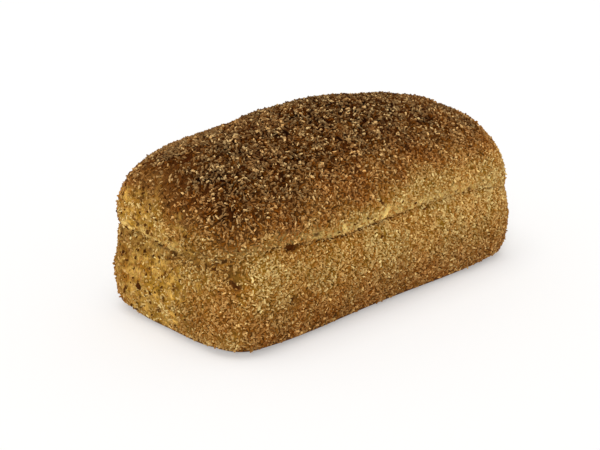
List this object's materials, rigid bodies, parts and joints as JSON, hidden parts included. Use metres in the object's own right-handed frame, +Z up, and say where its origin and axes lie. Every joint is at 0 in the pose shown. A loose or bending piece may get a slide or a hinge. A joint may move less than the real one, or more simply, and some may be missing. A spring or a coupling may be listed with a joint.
{
  "type": "bread loaf",
  "caption": "Whole tin-baked wholemeal loaf with a domed crown, a crease where it rose over the tin's rim, and a crust coated in cracked grain.",
  "frame": {"origin": "on the resting face, under the middle of the loaf's bounding box", "axes": "+X along the loaf, +Y across it towards the far long side, +Z up through the crown"},
  "size_m": [0.2483, 0.1295, 0.1116],
  "materials": {
    "crust": "baked crust, rough, brown at the top and golden at the sides"
  },
  "bodies": {
    "root": {"loaf": "crust"}
  },
  "joints": []
}
